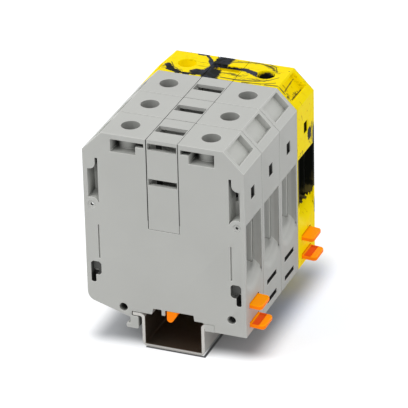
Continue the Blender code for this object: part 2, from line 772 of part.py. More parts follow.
def make_sleeve():
    """The clamping sleeve, about its screw's axis: a steel loop with a thread in its roof."""
    half = SLEEVE_DEPTH / 2
    width = SLEEVE_WIDTH / 2
    body = block("sleeve", (-half, half), (-width, width), (SLEEVE_BOTTOM, SLEEVE_TOP))
    rounded(body, SLEEVE_EDGE)
    window = block(
        "window_cutter",
        (-half - OVERCUT, half + OVERCUT),
        (SLEEVE_WALL - width, width - SLEEVE_WALL),
        (SLEEVE_FLOOR_TOP, SLEEVE_ROOF_UNDER),
    )
    thread = rod(
        "thread_cutter", SCREW_RADIUS + FIT, SLEEVE_ROOF_UNDER - FIT, SLEEVE_TOP + OVERCUT,
        INNER_SEGMENTS,
    )
    carve(body, [window, thread])
    spacing = SLEEVE_DEPTH / (GRIP_RIDGES + 1)
    ridges = []
    for index in range(GRIP_RIDGES):
        x = -half + spacing * (index + 1)
        outline = [
            (x - GRIP_RIDGE_HEIGHT, SLEEVE_FLOOR_TOP - GRIP_RIDGE_HEIGHT),
            (x + GRIP_RIDGE_HEIGHT, SLEEVE_FLOOR_TOP - GRIP_RIDGE_HEIGHT),
            (x + GRIP_RIDGE_HEIGHT, SLEEVE_FLOOR_TOP),
            (x, SLEEVE_FLOOR_TOP + GRIP_RIDGE_HEIGHT),
            (x - GRIP_RIDGE_HEIGHT, SLEEVE_FLOOR_TOP),
        ]
        inset = width - SLEEVE_WALL + FIT
        ridges.append(prism("ridge", outline, -inset, inset))
    return combine(body, ridges, "UNION")


def make_screw():
    """The socket head clamping screw, about its own axis."""
    tip = BAR_UPPER + FIT
    body = turned("screw", [
        (0, tip),
        (SCREW_RADIUS - SCREW_TIP, tip),
        (SCREW_RADIUS, tip + SCREW_TIP),
        (SCREW_RADIUS, CHAMBER_TOP),
        (HEAD_RADIUS, CHAMBER_TOP),
        (HEAD_RADIUS, HEAD_TOP - HEAD_EDGE),
        (HEAD_RADIUS - HEAD_EDGE, HEAD_TOP),
        (0, HEAD_TOP),
    ], INNER_SEGMENTS)
    corner = SOCKET_WIDTH / math.sqrt(3)
    socket = rod("socket_cutter", corner, HEAD_TOP - SOCKET_DEPTH, HEAD_TOP + OVERCUT, 6)
    return carve(body, [socket])


def tab(name, arm, reach):
    """One arm of the lock slide, seen from above, with its outer corners rounded off."""
    end = RIGHT_FACE + reach
    plan = [(TONGUE_LEFT, TAB_FRONT), (end - TAB_CORNER, TAB_FRONT)]
    plan += arc(end - TAB_CORNER, TAB_FRONT + TAB_CORNER, TAB_CORNER, -90, 0, BEND_STEPS)[1:]
    plan += arc(end - TAB_CORNER, TAB_BACK - TAB_CORNER, TAB_CORNER, 0, 90, BEND_STEPS)
    plan += [(TONGUE_LEFT, TAB_BACK)]
    shape = bmesh.new()
    face = shape.faces.new([shape.verts.new((x, y, arm)) for x, y in plan])
    grown = bmesh.ops.extrude_face_region(shape, geom=[face])["geom"]
    moved = [item for item in grown if isinstance(item, bmesh.types.BMVert)]
    bmesh.ops.translate(shape, verts=moved, vec=(0, 0, TAB_THICKNESS))
    return link(name, mesh_from(name, shape))


def make_slide():
    """The lock slide: two arms, a crossbar and the tongue that reaches into the rail."""
    crossbar = block(
        "slide",
        (TONGUE_LEFT, TONGUE_RIGHT),
        (CROSSBAR_FRONT, TAB_BACK),
        (LOWER_ARM, UPPER_ARM_TOP),
    )
    left = TONGUE_LEFT + FIT
    right = TONGUE_RIGHT - FIT
    root = DECK + RELIEF_HEIGHT - FIT
    centre = (left + TONGUE_TIP_RADIUS, DECK - TONGUE_DROP + TONGUE_TIP_RADIUS)
    outline = [(right, root), (right, LOWER_ARM)]
    outline += arc(*centre, TONGUE_TIP_RADIUS, -TONGUE_LEAN, -180, 2 * BEND_STEPS)
    outline += [(left, root)]
    front = FRONT + FIT
    tongue = prism("tongue", outline, front, front + TONGUE_THICKNESS)
    arms = [
        tab("lower_arm", LOWER_ARM, LOWER_TAB_REACH),
        tab("upper_arm", UPPER_ARM, UPPER_TAB_REACH),
    ]
    grip = block(
        "grip_cutter",
        (RIGHT_FACE + GRIP_START, RIGHT_FACE + GRIP_END),
        (TAB_FRONT + GRIP_RIM, TAB_BACK - GRIP_RIM),
        (LOWER_ARM + TAB_THICKNESS - GRIP_DEPTH, LOWER_ARM + TAB_THICKNESS + OVERCUT),
    )
    return carve(combine(crossbar, [tongue] + arms, "UNION"), [grip])


def clear_scene():
    for item in list(bpy.data.objects):
        bpy.data.objects.remove(item)


def build():
    clear_scene()
    grey = plastic("grey_polyamide", (0.50, 0.51, 0.47), 0.5)
    yellow = plastic("marbled_yellow", (0.86, 0.66, 0.01), 0.45)
    orange = plastic("orange_slide", (0.90, 0.27, 0.01), 0.45)
    tinned = finish("tinned_copper", (0.75, 0.73, 0.70), 0.3, 1.0)
    zinced = finish("zinc_plated_steel", (0.62, 0.63, 0.66), 0.35, 1.0)
    galvanised = finish("galvanised_sheet", (0.68, 0.67, 0.65), 0.4, 0.9)

    rail = prism("rail", rail_outline(), -ROW_LENGTH / 2, ROW_LENGTH / 2)
    patterns = {
        "housing": make_housing(),
        "cover": make_cover(),
        "bridge_shaft": make_shaft(),
        "current_bar": make_bar(),
        "sleeve": make_sleeve(),
        "screw": make_screw(),
        "lock_slide": make_slide(),
    }
    place(rail, "din_rail", (0, 0, 0), galvanised)
    for pole in range(POLES):
        number = pole + 1
        start = pole_start(pole)
        colour = yellow if number == POLES else grey
        for kind in ("housing", "cover", "bridge_shaft"):
            place(patterns[kind], f"{kind}_{number}", (0, start, 0), colour)
        place(patterns["current_bar"], f"current_bar_{number}", (0, start, 0), tinned)
        for word, side in (("left", -1), ("right", 1)):
            axis = (MIDDLE + side * SCREW_OFFSET, start + HALF_PITCH, 0)
            place(patterns["sleeve"], f"sleeve_{word}_{number}", axis, zinced)
            place(patterns["screw"], f"screw_{word}_{number}", axis, zinced, smooth=True)
        if pole in LOCKED_POLES:
            place(patterns["lock_slide"], f"lock_slide_{number}", (0, start, 0), orange)
    for pattern in [rail] + list(patterns.values()):
        bpy.data.objects.remove(pattern)


build()
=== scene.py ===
"""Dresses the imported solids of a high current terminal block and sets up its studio."""

import math

import bpy
from mathutils import Matrix, Vector


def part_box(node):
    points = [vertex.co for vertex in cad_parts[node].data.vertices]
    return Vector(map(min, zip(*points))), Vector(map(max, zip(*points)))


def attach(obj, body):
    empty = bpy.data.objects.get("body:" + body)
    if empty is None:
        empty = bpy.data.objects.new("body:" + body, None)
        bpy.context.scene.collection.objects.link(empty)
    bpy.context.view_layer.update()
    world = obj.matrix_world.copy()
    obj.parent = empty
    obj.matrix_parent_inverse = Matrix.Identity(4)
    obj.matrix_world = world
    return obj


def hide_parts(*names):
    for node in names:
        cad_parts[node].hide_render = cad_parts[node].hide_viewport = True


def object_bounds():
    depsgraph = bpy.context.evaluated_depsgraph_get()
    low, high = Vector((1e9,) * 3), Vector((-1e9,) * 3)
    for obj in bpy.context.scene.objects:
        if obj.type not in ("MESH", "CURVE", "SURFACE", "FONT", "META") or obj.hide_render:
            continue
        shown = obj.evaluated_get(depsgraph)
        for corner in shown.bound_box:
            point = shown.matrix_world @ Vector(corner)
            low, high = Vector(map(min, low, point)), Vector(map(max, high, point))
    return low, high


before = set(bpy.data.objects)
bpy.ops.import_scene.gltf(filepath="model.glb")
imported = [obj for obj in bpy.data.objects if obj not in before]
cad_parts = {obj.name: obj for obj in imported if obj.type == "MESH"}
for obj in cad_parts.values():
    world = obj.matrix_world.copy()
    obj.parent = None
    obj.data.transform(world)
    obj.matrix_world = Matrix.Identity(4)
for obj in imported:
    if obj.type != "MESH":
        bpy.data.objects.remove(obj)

bl_info = {
    "name": "Terminal Block Builder",
    "version": (1, 0, 0),
    "blender": (4, 5, 0),
    "location": "3D View > Sidebar > Terminal Block",
    "description": "Models and finishes a four pole high current terminal block on its rail",
    "category": "Object",
}

MM = 0.001
CAD_BOX = [list(corner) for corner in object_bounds()]
BLOCK = "block"
POLES = (1, 2, 3, 4)
MARBLED_POLE = 4
LOCKED_POLES = (1, 4)
SIDES = ("left", "right")
PITCH = 20 * MM
HOUSING_MIDDLE = -2.6 * MM
HALF_LENGTH = 34.25 * MM
TOP = 94 * MM
RAIL_CHANNEL = 27 * MM
RAIL_SHEET = 1.5 * MM
# How far the rail's front end stands back behind the face that covers its right flange, and how
# near to the front the corners are that move for it
RAIL_INSET, RAIL_FRONT = 0.3 * MM, 0.05 * MM
# Further out than any corner of the part
FAR = 1.0
BLACK = (0.0, 0.0, 0.0)


def paint(red, green, blue):
    """A colour written as on a paint card, 0 to 255, as Blender's linear values."""
    values = [value / 255 for value in (red, green, blue)]
    return tuple(v / 12.92 if v <= 0.04045 else ((v + 0.055) / 1.055) ** 2.4 for v in values)


def colour_setting(name, description, default):
    """A colour that the panel shows."""
    return bpy.props.FloatVectorProperty(
        name=name, description=description, subtype="COLOR", size=3, min=0, max=1, default=default
    )


def length_setting(name, description, size):
    """A length that the panel shows, given in mm."""
    return bpy.props.FloatProperty(
        name=name, description=description, default=size * MM, min=0, unit="LENGTH", precision=5
    )


class BlockSizes(bpy.types.PropertyGroup):
    """Sizes that a user of the add-on would change."""

    edge: length_setting("Moulded edge", "Rounding of the mouldings' edges", 0.22)
    slide_edge: length_setting("Slide edge", "Rounding of the lock slides' edges", 0.35)
    shaft_edge: length_setting("Shaft edge", "Rounding of the bridge shafts' edges", 0.08)
    groove_extra: length_setting("Groove extra", "Extra depth of the marker grooves", 1.0)
    rail_edge: length_setting("Rail edge", "Rounding of the rail's cut edges", 0.12)


class BlockColours(bpy.types.PropertyGroup):
    """Colours of the finishes."""

    grey: colour_setting("Grey", "The grey mouldings", paint(190, 191, 187))
    yellow: colour_setting("Yellow", "Ground of the marbled moulding", paint(255, 228, 0))
    # Black and navy also draw the painted shade in the marbled pole's holes, slots and entries
    black: colour_setting("Black", "Dark veins of the marbled moulding", paint(22, 24, 22))
    navy: colour_setting("Navy", "Edges of the dark veins", paint(54, 58, 72))
    # Umber also paints shade along the edges of the marbled marker groove
    umber: colour_setting("Umber", "Thin pigment lines", paint(84, 76, 40))
    entry_black: colour_setting("Soot", "The dark inside of the marbled entry", paint(12, 14, 11))
    # Olive also paints shade on the floor of the marbled marker groove
    olive: colour_setting("Olive", "Streaks where yellow and black mix", paint(122, 112, 36))
    orange: colour_setting("Orange", "The lock slides", paint(255, 152, 0))
    # The upright faces' redder orange is painted shade
    orange_shaded_side: colour_setting("Orange side", "Upright faces of the slides", paint(248, 124, 10))
    # The grip colour paints the shadow of the upper tabs on the lower tabs
    grip_shadow: colour_setting("Grip", "The finger recess of the lower tabs", paint(222, 84, 22))
    zinc: colour_setting("Zinc", "Clamping sleeves and screws", paint(188, 190, 194))
    tin: colour_setting("Tin", "Current bars", paint(205, 204, 200))
    sheet: colour_setting("Sheet", "The galvanised rail", paint(205, 203, 198))
    # The channel colour is painted shade inside the rail under the block
    channel: colour_setting("Channel", "The dull passivated inside of the rail", paint(70, 62, 52))
    floor: colour_setting("Floor", "The studio floor as it lights the block", paint(226, 226, 226))
    shadow: colour_setting("Shadow", "The floor as the camera sees it", paint(184, 186, 190))
    cool_shadow: colour_setting("Cool shadow", "The floor by the yellow pole", paint(184, 194, 216))


class StudioSettings(bpy.types.PropertyGroup):
    """The camera and the lights."""

    azimuth: bpy.props.FloatProperty(
        name="Azimuth", description="Turn of the camera from the front towards the right",
        default=math.radians(22.28), subtype="ANGLE",
    )
    elevation: bpy.props.FloatProperty(
        name="Elevation", description="Height of the camera above the horizon",
        default=math.radians(27.9), subtype="ANGLE",
    )
    roll: bpy.props.FloatProperty(
        name="Roll", description="Tilt of the camera about its own axis",
        default=math.radians(-1.38), subtype="ANGLE",
    )
    distance: bpy.props.FloatProperty(
        name="Distance", description="Distance from the camera to the point it looks at",
        default=1.3884, unit="LENGTH",
    )
    lens: bpy.props.FloatProperty(
        name="Lens", description="Focal length on a 36 mm sensor", default=301.9,
        subtype="DISTANCE_CAMERA",
    )
    aim: bpy.props.FloatVectorProperty(
        name="Aim", description="The point that the camera looks at",
        default=(-0.00145, -0.0003, 0.04707), subtype="TRANSLATION",
    )
    ambient: bpy.props.FloatProperty(
        name="Ambient", description="Even light from all round", default=0.72, min=0,
    )
    key: bpy.props.FloatProperty(
        name="Key", description="Power of the main lamp", default=8.2, min=0,
    )
    fill: bpy.props.FloatProperty(
        name="Fill", description="Power of the front lamp", default=0.3, min=0,
    )
    glow: bpy.props.FloatProperty(
        name="Glow", description="How far the floor is lifted to white where the camera sees it",
        default=0.7, min=0,
    )


class Signal:
    """A shader socket that can be used in sums and products."""

    def __init__(self, look, socket):
        self.look = look
        self.socket = socket

    def maths(self, operation, *values):
        inputs = dict(enumerate((self, *values)))
        return self.look.node("ShaderNodeMath", {"operation": operation}, inputs)

    def __add__(self, other):
        return self.maths("ADD", other)

    __radd__ = __add__

    def __sub__(self, other):
        return self.maths("SUBTRACT", other)

    def __rsub__(self, other):
        return self.look.node("ShaderNodeMath", {"operation": "SUBTRACT"}, {0: other, 1: self})

    def __mul__(self, other):
        return self.maths("MULTIPLY", other)

    def __pow__(self, other):
        return self.maths("POWER", other)

    def absolute(self):
        return self.maths("ABSOLUTE")

    def at_least(self, other):
        return self.maths("MAXIMUM", other)

    def at_most(self, other):
        return self.maths("MINIMUM", other)

    def step(self, low, high, to_low=0.0, to_high=1.0):
        """Rises smoothly from to_low to to_high as the signal goes from low to high."""
        return self.look.node(
            "ShaderNodeMapRange", {"interpolation_type": "SMOOTHSTEP"},
            {"Value": self, "From Min": low, "From Max": high, "To Min": to_low, "To Max": to_high},
        )


class Look:
    """Builds one node material."""

    def __init__(self, name):
        self.material = bpy.data.materials.new(name)
        self.material.use_nodes = True
        self.tree = self.material.node_tree
        self.shader = self.tree.nodes["Principled BSDF"]

    def node(self, kind, settings=None, inputs=None, output=0):
        """Adds a node, applies its settings, fills its sockets and returns one of its outputs."""
        made = self.tree.nodes.new(kind)
        for key, value in (settings or {}).items():
            setattr(made, key, value)
        for key, value in (inputs or {}).items():
            self.plug(made.inputs[key], value)
        return Signal(self, made.outputs[output])

    def plug(self, socket, value):
        """Links a signal to a socket, or sets the socket's value."""
        if isinstance(value, Signal):
            self.tree.links.new(value.socket, socket)
        elif hasattr(value, "__len__") and len(value) == 3 and socket.type == "RGBA":
            socket.default_value = (*value, 1.0)
        else:
            socket.default_value = value

    def place(self):
        """The point on the object, in metres."""
        return self.node("ShaderNodeTexCoord", output="Object")

    def axes(self, place):
        """The three coordinates of a place."""
        split = self.tree.nodes.new("ShaderNodeSeparateXYZ")
        self.plug(split.inputs[0], place)
        return [Signal(self, socket) for socket in split.outputs]

    def stretch(self, place, scale):
        """The place with its axes scaled, so that noise is drawn out along the smallest one."""
        inputs = {"Vector": place, "Scale": scale}
        return self.node("ShaderNodeMapping", {"vector_type": "POINT"}, inputs)

    def noise(self, place, size, detail=2.0, roughness=0.5, distortion=0.0, output="Fac"):
        """Noise whose features are about size metres across."""
        return self.node(
            "ShaderNodeTexNoise", {"noise_dimensions": "3D"},
            {"Vector": place, "Scale": 1 / size, "Detail": detail, "Roughness": roughness,
             "Distortion": distortion},
            output,
        )

    def openness(self, reach):
        """1 on free surfaces, falling to 0 deep inside holes and slots narrower than the reach."""
        return self.node(
            "ShaderNodeAmbientOcclusion", {"samples": 12, "only_local": False},
            {"Distance": reach}, "AO",
        )

    def vector(self, operation, first, second=None, output="Vector"):
        """Vector maths on one vector or two."""
        inputs = {0: first} if second is None else {0: first, 1: second}
        return self.node("ShaderNodeVectorMath", {"operation": operation}, inputs, output)

    def scaled(self, vector, factor):
        """The vector made longer or shorter by a signal or a number."""
        inputs = {0: vector, "Scale": factor}
        return self.node("ShaderNodeVectorMath", {"operation": "SCALE"}, inputs, "Vector")

    def mix(self, share, first, second):
        """Goes from the first colour to the second as share goes from 0 to 1."""
        made = self.tree.nodes.new("ShaderNodeMix")
        made.data_type = "RGBA"
        self.plug(made.inputs["Factor"], share)
        colours = [socket for socket in made.inputs if socket.type == "RGBA"]
        self.plug(colours[0], first)
        self.plug(colours[1], second)
        return Signal(self, [socket for socket in made.outputs if socket.type == "RGBA"][0])

    def relief(self, height, depth):
        """Gives the surface a bump of this depth in metres."""
        bump = self.node("ShaderNodeBump", None, {"Height": height, "Distance": depth}, "Normal")
        self.finish(Normal=bump)

    def finish(self, **sockets):
        """Sets the shader's sockets, with underscores for spaces in their names."""
        for key, value in sockets.items():
            self.plug(self.shader.inputs[key.replace("_", " ")], value)
        return self.material


def millimetres(values):
    return tuple(value * MM for value in values)


def shade(colour, factor):
    """The colour made darker or lighter."""
    return tuple(min(value * factor, 1.0) for value in colour)


# The grain of the mouldings, the wider flow marks in it and the height of both
GRAIN_SIZE, FLOW_SIZE, GRAIN_HEIGHT = 0.35 * MM, 9 * MM, 0.012 * MM


def moulded_texture(look, place):
    """The fine spark eroded grain of moulded polyamide and its wider flow marks."""
    grain = look.noise(place, GRAIN_SIZE, detail=2.0)
    flow = look.noise(place, FLOW_SIZE, detail=1.0)
    look.relief(grain + flow * 0.6, GRAIN_HEIGHT)
    return grain, flow


def inside_box(point, low, high, soft):
    """1 for a point between two corners, 0 outside them, with soft sides."""
    depth = None
    for value, least, most in zip(point, low, high):
        inside = (most - least) / 2 - (value - (least + most) / 2).absolute()
        depth = inside if depth is None else depth.at_most(inside)
    return depth.step(-soft, 0.0)


# Places inside a housing that get little light: lowest and highest corner in mm, across from the
# housing's middle, along its own pole and up, and the share of the light that they lose
SHADED_PLACES = {
    "side_window": ((27.0, 7.7, 70.4), (33.75, 12.3, 75.9), 1.0),
    "lower_slide_slot": ((27.0, 4.0, 14.7), (33.9, 15.6, 18.8), 1.0),
    "upper_slide_slot": ((27.0, 4.0, 23.4), (33.9, 15.6, 27.5), 1.0),
    "bridge_slot": ((-1.0, 7.8, 58.0), (6.4, 13.4, 91.4), 0.95),
    "lower_pocket": ((27.7, 0.5, 29.2), (32.4, 3.3, 35.5), 0.8),
    "lower_pocket_end": ((30.0, 0.5, 25.8), (32.4, 9.0, 29.2), 1.0),
    "boss_bore": ((30.2, 0.7, 60.3), (31.6, 4.0, 61.9), 1.0),
    "shaft_line": ((6.7, -1.0, 58.0), (6.86, 21.0, 93.8), 0.9),
}
# The tool holes, which are shaded like this in the grey poles only
TOOL_HOLES = {"tool_hole": ((13.0, 5.9, 82.0), (21.2, 14.1, 93.8), 0.2)}
PLACE_EDGE = 0.15 * MM
# The inside of the conductor entries in the same measure, and how much light they keep at least
ENTRY = ((18.0, 0.9, 19.0), (31.9, 19.1, 72.0))
ENTRY_MOUTH_EDGE = 0.5 * MM
ENTRY_LIGHT = 0.9
# How far around a surface the light test looks, and the openness where it is dark and where lit
LIGHT_REACH, DARK_OPENNESS, LIT_OPENNESS = 6 * MM, 0.08, 0.5


def pole_place(look, place):
    """A place across from the housing's middle, along its own pole and up."""
    x, y, z = look.axes(place)
    return (x - HOUSING_MIDDLE).absolute(), (y - CAD_BOX[0][1]).maths("MODULO", PITCH), z


def entry_share(look, place):
    """1 inside the conductor entries, rising from 0 at their mouths."""
    low, high = (millimetres(corner) for corner in ENTRY)
    return inside_box(pole_place(look, place), low, high, ENTRY_MOUTH_EDGE)


def light_share(look, place, places=SHADED_PLACES):
    """How much of the light reaches a surface: 1 on free faces, less in holes and slots."""
    point = pole_place(look, place)
    kept = look.openness(LIGHT_REACH).step(DARK_OPENNESS, LIT_OPENNESS)
    kept = kept.at_least(entry_share(look, place) * ENTRY_LIGHT)
    for low, high, loss in places.values():
        shaded = inside_box(point, millimetres(low), millimetres(high), PLACE_EDGE)
        kept = kept * (1.0 - shaded * loss)
    return kept


def slanted_share(look):
    """1 on faces that lean half way between the right and the top, 0 on upright and level ones."""
    across, _, up = look.axes(look.node("ShaderNodeNewGeometry", output="Normal"))
    return (across * up * 2.0).step(0.1, 0.95)


# Where along the row the light inside the grey entries starts and ends to grow, and its strengths
ENTRY_GLOW_FROM, ENTRY_GLOW_TO = -30 * MM, 10 * MM
ENTRY_GLOWS = (0.03, 0.1)
# The tones of the grey: in its clouds, the painted light on slanted faces and the painted shade in
# dark places
GREY_CLOUDS, GREY_SLANT_LIGHT, GREY_DARK = (0.965, 1.03), 1.2, 0.05


def grey_plastic(name, colours, lift):
    """Grey polyamide with painted shade in hollows, and paler as painted light on slanted faces and
    where the lift is above 1.
    """
    look = Look(name)
    place = look.place()
    grain, flow = moulded_texture(look, place)
    cloud = look.noise(place, 24 * MM, detail=2.0)
    tone = cloud.step(0.3, 0.7) * 0.6 + grain * 0.4
    base = Vector(colours.grey) * lift
    dull = look.mix(tone, *(shade(base, factor) for factor in GREY_CLOUDS))
    # Faces that lean to the right and up are painted lighter, as painted light
    dull = look.mix(slanted_share(look), dull, shade(base, GREY_SLANT_LIGHT))
    lit = light_share(look, place, SHADED_PLACES | TOOL_HOLES)
    glow = look.axes(place)[1].step(ENTRY_GLOW_FROM, ENTRY_GLOW_TO, *ENTRY_GLOWS)
    return look.finish(
        Base_Color=look.mix(lit, shade(base, GREY_DARK), dull),
        Emission_Color=look.mix(lit, BLACK, shade(base, 1.0)),
        Emission_Strength=entry_share(look, place) * glow,
        Roughness=0.5 + flow * 0.12,
        IOR=1.5,
    )


def on_top(points, *half_widths):
    """The strokes of a line on the top face, from its points across and along, in mm."""
    places = [(x, y, TOP / MM) for x, y in points]
    return list(zip(places, places[1:], half_widths))


# Dark veins of the marbled moulding, and one stroke of painted shade in the bridge slot: from a
# point to a point, with the half width, in mm
VEINS_AND_SLOT_SHADE = (
    *on_top(((-6.0, 42.0), (-6.3, 34.0), (-7.2, 27.0), (-6.4, 19.0)), 3.9, 3.6, 4.0),
    *on_top(((-13.4, 23.4), (-9.0, 23.6)), 2.9),
    *on_top(((-18.2, 39.2), (-14.0, 39.2), (-11.6, 35.4), (-9.6, 31.6)), 0.7, 0.8, 1.1),
    *on_top(((-26.8, 26.4), (-24.4, 23.0)), 1.5),
    *on_top(((-25.0, 22.8), (-20.4, 21.2), (-13.2, 20.8)), 1.4, 0.8),
    # Painted shade on the upper far wall of the bridge slot, drawn as a vein
    ((-2.4, 33.0, 92.0), (3.0, 33.0, 92.0), 1.7),
    *on_top(((3.6, 31.6), (7.0, 30.6), (12.0, 28.2)), 1.6, 1.7),
)
# Thin lines that pigment leaves along the flow, and painted shade along the marker groove's edges,
# given in the same way
LINES_AND_GROOVE_SHADE = (
    *on_top(((-26.2, 29.0), (-23.6, 24.8), (-20.6, 22.9)), 0.34, 0.30),
    *on_top(
        ((-2.7, 36.4), (4.1, 38.7), (9.4, 39.0), (13.6, 37.6), (16.6, 34.6)),
        0.50, 0.50, 0.70, 0.75,
    ),
    *on_top(((12.6, 39.8), (16.2, 37.4), (18.4, 33.2)), 0.45, 0.40),
    *on_top(
        ((-2.0, 21.8), (6.0, 21.6), (12.6, 23.0), (17.6, 25.2), (20.6, 29.0)),
        0.70, 0.75, 0.60, 0.40,
    ),
    *on_top(((8.0, 20.5), (15.6, 21.2), (20.8, 24.0)), 0.60, 0.45),
    *on_top(((17.6, 21.2), (22.6, 21.6)), 0.70),
    ((22.6, 21.6, 94.0), (26.4, 21.2, 91.0), 0.60),
    ((22.4, 36.0, 94.0), (25.0, 36.0, 92.2), 0.34),
    # These three strokes are painted shade along the edges of the marker groove's floor
    ((23.3, 37.4, 89.6), (23.8, 26.2, 89.1), 0.42),
    ((26.9, 37.0, 85.8), (26.8, 26.0, 86.0), 0.50),
    ((26.8, 26.2, 86.0), (24.4, 26.2, 88.4), 0.45),
    ((31.0, 24.0, 84.5), (31.65, 26.0, 78.0), 0.26),
)
# Dirty streaks where the two pigments run side by side, and painted shade on the marker groove's
# floor, given in the same way
SMEARS_AND_GROOVE_SHADE = (
    *on_top(((-2.4, 25.0), (6.4, 26.6)), 2.2),
    *on_top(((4.0, 22.6), (16.0, 25.0)), 1.6),
    *on_top(((-3.0, 37.4), (8.0, 39.0)), 1.2),
    *on_top(((12.0, 38.2), (18.6, 33.0)), 1.6),
    *on_top(((-29.0, 24.0), (-20.0, 22.6)), 1.8),
    # These two smears are painted shade on the floor of the marker groove
    ((25.4, 26.8, 87.4), (26.4, 28.4, 86.4), 2.0),
    ((26.2, 28.0, 86.6), (26.6, 34.0, 86.2), 1.0),
    ((31.65, 37.6, 71.0), (31.65, 35.0, 64.6), 2.6),
    ((31.65, 22.4, 63.2), (31.65, 26.0, 63.4), 1.3),
)
# Painted shade in holes, slots and entries, drawn as dark patches in the veins' colours: centre and
# reach, in mm
HOLLOW_SHADES = (
    ((14.5, 30.0, 89.0), (6.2, 8.2, 5.4)),
    ((26.4, 21.4, 88.0), (2.2, 2.0, 2.4)),
    ((32.0, 39.6, 64.0), (3.0, 2.2, 7.0)),
    ((31.8, 34.0, 68.4), (2.4, 2.4, 3.4)),
    ((31.0, 40.0, 33.0), (3.0, 1.6, 4.5)),
)
# Where the faces that the photo doesn't show begin, which have free marbling: behind and left of
# these places, each with a soft border
FREE_BEHIND, FREE_LEFT_OF, FREE_BORDER = 39.6 * MM, -36.7 * MM, 0.3 * MM
# The noise level at which the free marbling turns dark, and how fast it gets there
FREE_LEVEL, FREE_CONTRAST = 0.56, 9.0
# The dark inside of the right conductor entry: lowest and highest corner, in mm
DARK_ENTRY = ((4.0, 20.6, 22.0), (31.75, 39.6, 62.2))
# How high its lower edge is at the side face, how far it sinks for each step inwards, how ragged it
# is, and how far above it umber streaks still show
ENTRY_EDGE, ENTRY_SLANT, ENTRY_RAG, ENTRY_MIX = 41.5 * MM, 1.4, 9 * MM, 9 * MM
# The tones of the yellow: in its streaks, in its stains and the painted shade in dark places
YELLOW_STREAK, YELLOW_STAIN, YELLOW_DARK = 0.62, 0.85, 0.03
# The share of their colour that the bright plastics give off as a painted glow, which keeps them as
# strong as in the photo, and the share of it that they lose as a colour that is lit
PAINTED_GLOW, LIT_LOSS = 0.34, 0.3


def vein(look, place, start, end, half_width):
    """How far inside a vein a place lies: 1 on its middle line, 0 at its edge, less outside."""
    run = Vector(millimetres(end)) - Vector(millimetres(start))
    offset = look.vector("SUBTRACT", place, millimetres(start))
    share = look.vector("DOT_PRODUCT", offset, tuple(run / run.length_squared), "Value")
    nearest = look.scaled(tuple(run), share.at_least(0.0).at_most(1.0))
    distance = look.vector("DISTANCE", offset, nearest, "Value")
    return 1.0 - distance * (1 / (half_width * MM))


def stirred(look, place, size, depth):
    """The place pushed about by noise, so that what is drawn on it has uneven edges."""
    colour = look.noise(place, size, detail=3.0, output="Color")
    push = look.vector("SUBTRACT", colour, (0.5, 0.5, 0.5))
    return look.vector("ADD", place, look.scaled(push, 2 * depth))


def strokes(look, place, lines):
    """How far inside the nearest of several veins a place lies."""
    near = None
    for start, end, half_width in lines:
        one = vein(look, place, start, end, half_width)
        near = one if near is None else near.at_least(one)
    return near


def soft_ellipsoid(look, place, centre, reach):
    """1 at the middle of a soft ellipsoid, 0 at its edge and less outside."""
    offset = look.vector("SUBTRACT", place, millimetres(centre))
    scaled = look.vector("DIVIDE", offset, millimetres(reach))
    return 1.0 - look.vector("LENGTH", scaled, output="Value")


def dark_entry(look, place, ragged):
    """1 inside the entry above a ragged edge that sinks inwards, and how near that edge is."""
    low, high = (millimetres(corner) for corner in DARK_ENTRY)
    x, y, z = look.axes(place)
    height = z + (high[0] - x) * ENTRY_SLANT + (ragged - 0.5) * ENTRY_RAG
    inside = inside_box((x, y, z), low, high, soft=0.25 * MM)
    inside = inside * height.step(ENTRY_EDGE - 0.4 * MM, ENTRY_EDGE)
    return inside, height.step(ENTRY_EDGE + 1 * MM, ENTRY_EDGE + ENTRY_MIX, 1.0, 0.0)


def free_marbling(look, place):
    """Swirls on the back and the left side, in the same measure as the veins."""
    x, y, _ = look.axes(place)
    behind = y.step(FREE_BEHIND - FREE_BORDER, FREE_BEHIND)
    hidden = behind.at_least(x.step(FREE_LEFT_OF, FREE_LEFT_OF + FREE_BORDER, 1.0, 0.0))
    drawn = look.stretch(place, (1.0, 1.0, 0.42))
    swirl = look.noise(drawn, 15 * MM, detail=3.0, roughness=0.55, distortion=1.6)
    return (swirl - FREE_LEVEL) * FREE_CONTRAST - (1.0 - hidden) * FREE_CONTRAST


